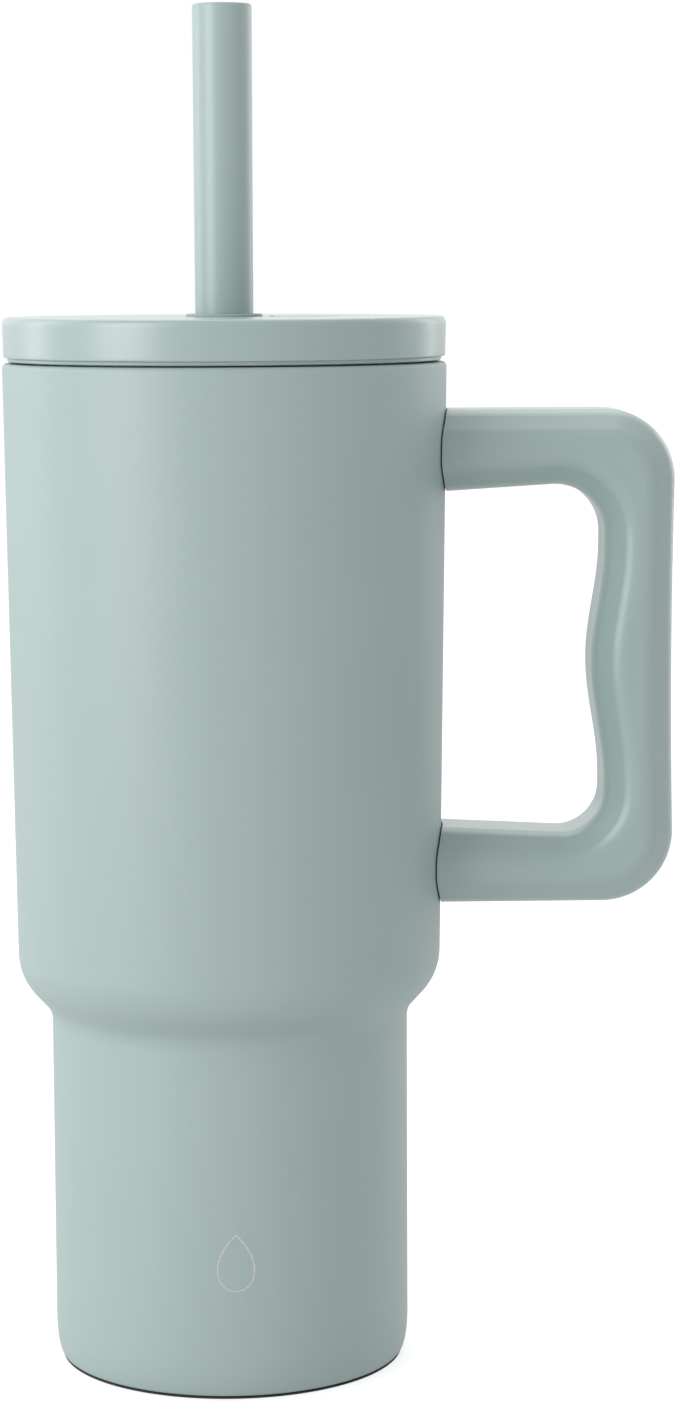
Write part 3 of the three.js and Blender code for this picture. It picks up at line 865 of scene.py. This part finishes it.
def grip_inner(z):
    """The grip's inner face at a height: straight, with one smooth swell."""
    t = min(abs(z - SWELL_Z) / SWELL_HALF, 1)
    return GRIP_INNER_X - SWELL * (0.5 + 0.5 * math.cos(math.pi * t))


def handle_outline():
    """Points (x, z) in millimetres round the handle's side view."""
    upper, lower = OUTER_ROUNDS
    upper_in, lower_in = INNER_ROUNDS
    points = [(ROOT_X, HANDLE_LOW)]
    points += arc(GRIP_X - lower, HANDLE_LOW + lower, lower, -90, 0, SIDE_STEPS)
    straight = HANDLE_TOP - upper - HANDLE_LOW - lower
    for i in range(1, SIDE_STEPS):
        t = i / SIDE_STEPS
        points.append((GRIP_X - 4 * GRIP_BOW * t * (1 - t), HANDLE_LOW + lower + straight * t))
    points += arc(GRIP_X - upper, HANDLE_TOP - upper, upper, 0, 90, SIDE_STEPS)
    points += [(ROOT_X, HANDLE_TOP), (ROOT_X, UPPER_UNDERSIDE[0])]
    inner_top = UPPER_UNDERSIDE[1] - upper_in
    points += arc(GRIP_INNER_X - upper_in, inner_top, upper_in, 90, 0, SIDE_STEPS)
    for i in range(2 * SIDE_STEPS + 1):
        z = SWELL_Z + SWELL_HALF * (1 - i / SIDE_STEPS)
        points.append((grip_inner(z), z))
    inner_low = LOWER_TOPSIDE[1] + lower_in
    points += arc(GRIP_INNER_X - lower_in, inner_low, lower_in, 0, -90, SIDE_STEPS)
    return points + [(ROOT_X, LOWER_TOPSIDE[0])]


# %% Handle blank
FACE_SLOPE = 5.2
RIDGE_ROUND = 1.8


def handle_blank():
    """Draws the outline with extrusions, fills it and gives it its depth."""
    select_only()
    outline = handle_outline()
    x, z = outline[0]
    start = (x * MM, grip_low.y, z * MM)
    bpy.ops.mesh.primitive_plane_add(size=MM, location=start)
    blank = bpy.context.object
    blank.name = blank.data.name = "side_handle"
    bpy.ops.object.mode_set(mode="EDIT")
    bpy.ops.mesh.merge(type="CENTER")
    bpy.ops.mesh.select_mode(type="VERT")
    bpy.ops.mesh.select_all(action="SELECT")
    for next_x, next_z in outline[1:]:
        step = {"value": ((next_x - x) * MM, 0, (next_z - z) * MM)}
        bpy.ops.mesh.extrude_region_move(TRANSFORM_OT_translate=step)
        x, z = next_x, next_z
    bpy.ops.mesh.select_all(action="SELECT")
    bpy.ops.mesh.edge_face_add()
    depth = {"value": (0, grip_high.y - grip_low.y, 0)}
    bpy.ops.mesh.extrude_region_move(TRANSFORM_OT_translate=depth)
    bpy.ops.mesh.select_all(action="SELECT")
    bpy.ops.mesh.normals_make_consistent(inside=False)
    bpy.ops.object.mode_set(mode="OBJECT")
    return settle(blank)


side_handle = handle_blank()
apply_modifier(side_handle, "BEVEL", width=FACE_SLOPE * MM, segments=1, limit_method="ANGLE",
               angle_limit=math.radians(60), use_clamp_overlap=False)
apply_modifier(side_handle, "BEVEL", width=RIDGE_ROUND * MM, segments=6, limit_method="ANGLE",
               angle_limit=math.radians(30), use_clamp_overlap=False)
print("handle blank:", len(side_handle.data.polygons), "faces")

# %% Roots cut to the cup, and hollows for the fixings
ROOT_GAP = 0.35
SCREW_HOLE_R = 1.9
COUNTERBORE_R = 3.5


def wall_r(z):
    """The outer wall's radius on its long taper, in millimetres."""
    return BELT_R + (RIM_R - BELT_R) * (z - BELT_Z) / (RIM_Z - BELT_Z)


def fixing_tools(side):
    """Shapes that hollow one arm for its bracket, its screw and its plug."""
    arm_low, arm_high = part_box(side + "_bracket")
    screw_low, screw_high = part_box(side + "_handle_screw")
    cap_low, cap_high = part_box(side + "_screw_plug")
    gap = Vector((PIECE_GAP, PIECE_GAP, PIECE_GAP)) * MM
    plate_x = (wall_r(arm_low.z / MM) + 1.2 + 2 * PIECE_GAP) * MM
    plate_high = Vector((plate_x, arm_high.y, arm_high.z)) + gap
    middle_z = (arm_low.z + arm_high.z) / 2
    tongue = Vector((0.02, 0.0053, 0.0023))
    tongue_low = Vector((arm_low.x, -tongue.y, middle_z - tongue.z))
    tongue_high = Vector((arm_high.x + gap.x, tongue.y, middle_z + tongue.z))
    screw_x = (screw_low.x + screw_high.x) / 2
    head_top = screw_low.z + 2 * MM + gap.z
    return [
        block("plate_room", arm_low - gap, plate_high),
        block("tongue_room", tongue_low, tongue_high),
        rod("screw_room", SCREW_HOLE_R, (screw_x, 0, screw_low.z), (screw_x, 0, screw_high.z + gap.z)),
        rod("head_room", COUNTERBORE_R, (screw_x, 0, cap_low.z - 2 * MM), (screw_x, 0, head_top))]


cup_taper = [(20, BELT_Z), (wall_r(BELT_Z) + ROOT_GAP, BELT_Z), (RIM_R + ROOT_GAP, RIM_Z), (20, RIM_Z)]
cut(side_handle, turned("cup_room", cup_taper, hollow=False))
for side in ("upper", "lower"):
    cut(side_handle, *fixing_tools(side))
settle(side_handle, 35)
apply_modifier(side_handle, "WEIGHTED_NORMAL", weight=80, keep_sharp=True)
finish_piece(side_handle, "cup", handle_plastic, "handle")

# %% Plugs that hide the screws
cap_low, cap_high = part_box("lower_screw_plug")
cap_r = (cap_high.x - cap_low.x) / 2 / MM
cap_corners = [(0.5, 0), (cap_r, 0), (cap_r, (cap_high.z - cap_low.z) / MM)]
cap_corners.append((0.5, cap_corners[-1][1]))
arm_plug = turned("arm_plug", rounded(cap_corners, 0.4, 4, closed=False), sides=64, hollow=False)
for side in ("upper", "lower"):
    cap_low, cap_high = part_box(side + "_screw_plug")
    plug = arm_plug.copy()
    plug.data = arm_plug.data.copy()
    plug.name = plug.data.name = side + "_arm_plug"
    bpy.context.collection.objects.link(plug)
    plug.location = ((cap_low.x + cap_high.x) / 2, 0, cap_low.z)
    settle(plug)
    finish_piece(plug, "cup", handle_plastic, side + "_screw_plug")
bpy.data.objects.remove(arm_plug)

# %% [markdown]
# ## A small mark near the foot
#
# A plain water drop is etched through the powder to the steel. A circle becomes a drop when its
# top point is pulled up and its neighbours follow less and less. Inset leaves a line of even
# width, which is laid on the wall and made a few hundredths of a millimetre thick.

# %% Etched drop
MARK_X = 0.8
MARK_Z = 27
MARK_R = 4
TIP_PULL = 4.5
LINE_WIDTH = 0.38
MARK_THICK = 0.04
select_only()
bpy.ops.mesh.primitive_circle_add(
    vertices=96, radius=MARK_R * MM, fill_type="NGON", rotation=(math.pi / 2, 0, 0),
    location=(MARK_X * MM, -0.06, MARK_Z * MM))
drop = bpy.context.object
drop.name = drop.data.name = "etched_drop"
settle(drop)
highest = max(drop.data.vertices, key=lambda v: v.co.z).index
bpy.ops.object.mode_set(mode="EDIT")
bpy.ops.mesh.select_mode(type="VERT")
bpy.ops.mesh.select_all(action="DESELECT")
bpy.ops.object.mode_set(mode="OBJECT")
drop.data.vertices[highest].select = True
bpy.ops.object.mode_set(mode="EDIT")
bpy.ops.transform.translate(
    value=(0, 0, TIP_PULL * MM), use_proportional_edit=True, use_proportional_connected=True,
    proportional_edit_falloff="SHARP", proportional_size=2.4 * MARK_R * MM)
bpy.ops.mesh.select_all(action="SELECT")
bpy.ops.mesh.inset(thickness=LINE_WIDTH * MM)
bpy.ops.mesh.delete(type="FACE")
bpy.ops.object.mode_set(mode="OBJECT")
apply_modifier(drop, "SHRINKWRAP", target=cup_wall, wrap_method="PROJECT", use_project_x=False,
               use_project_y=True, use_positive_direction=True, offset=MARK_THICK / 2 * MM)
apply_modifier(drop, "SOLIDIFY", thickness=MARK_THICK * MM, offset=0)
settle(drop)
finish_piece(drop, "cup", steel)

# %% CAD pieces that stay
# Hidden fixings keep their CAD shape and get their plating.
for node in ("upper_bracket", "lower_bracket", "upper_handle_screw", "lower_handle_screw",
             "port_seal", "getter_capsule", "tab_hinge_pin"):
    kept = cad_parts[node]
    kept.data.materials.clear()
    kept.data.materials.append(plating)

# %% The end
select_only()
